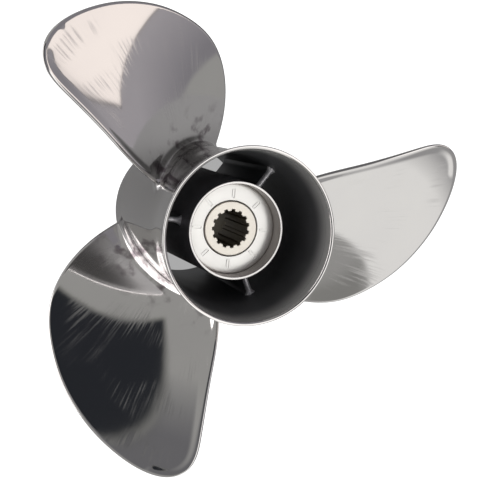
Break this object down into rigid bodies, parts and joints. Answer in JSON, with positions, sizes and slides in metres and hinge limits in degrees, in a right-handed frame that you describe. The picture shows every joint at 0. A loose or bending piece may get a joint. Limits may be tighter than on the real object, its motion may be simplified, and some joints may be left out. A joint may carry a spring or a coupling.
{
  "type": "outboard motor propeller",
  "caption": "Right-hand outboard motor propeller: swept polished blades on a flared exhaust barrel, with a ribbed inner hub, a rubber bushing and a splined sleeve.",
  "frame": {"origin": "centre of the propeller's volume, on the shaft axis", "axes": "+Z along the shaft axis, pointing aft out of the exhaust flare; the first rib lies 30 degrees from +X towards +Y, and the third lies along -Y"},
  "size_m": [0.3065, 0.3037, 0.152],
  "materials": {
    "polished_steel": "mirror polished",
    "cast_steel": "as cast, blasted",
    "satin_silver": "satin plated",
    "pale_bronze": "machined, pale",
    "black_rubber": "moulded"
  },
  "bodies": {
    "root": {"barrel": "polished_steel", "flare_lip": "polished_steel", "blade_1": "polished_steel", "blade_2": "polished_steel", "blade_3": "polished_steel", "inner_hub_tube": "cast_steel", "rib_1": "cast_steel", "rib_2": "cast_steel", "rib_3": "cast_steel", "bushing_rubber": "black_rubber", "bushing_end_ring": "satin_silver", "splined_sleeve": "pale_bronze"}
  },
  "joints": []
}
